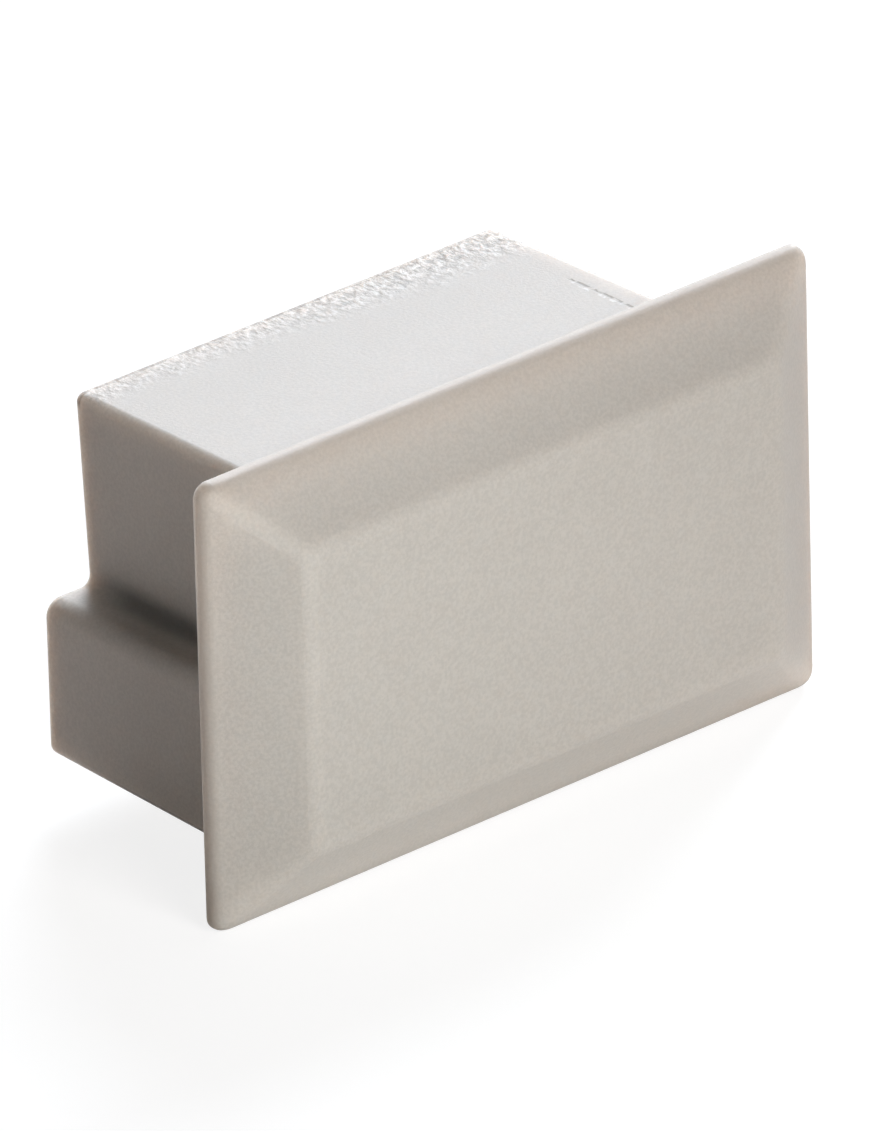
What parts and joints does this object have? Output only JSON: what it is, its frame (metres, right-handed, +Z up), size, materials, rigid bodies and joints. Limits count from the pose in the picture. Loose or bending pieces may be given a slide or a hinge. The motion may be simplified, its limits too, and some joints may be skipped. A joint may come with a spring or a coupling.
{
  "type": "profile end cap",
  "caption": "End cap for a rectangular channel profile: bevelled front, thin flange and a stepped plug that fills the channel.",
  "frame": {"origin": "middle of the seating face, the side of the flange that meets the profile's cut end", "axes": "+X across the cap, +Y into the profile along the plug, +Z up, from the wide lower block to the narrow upper one"},
  "size_m": [0.0246, 0.0122, 0.0152],
  "materials": {
    "cap_plastic": "warm light grey moulded plastic, slightly translucent, with a fine spark-eroded grain"
  },
  "bodies": {
    "root": {"end_cap": "cap_plastic"}
  },
  "joints": []
}
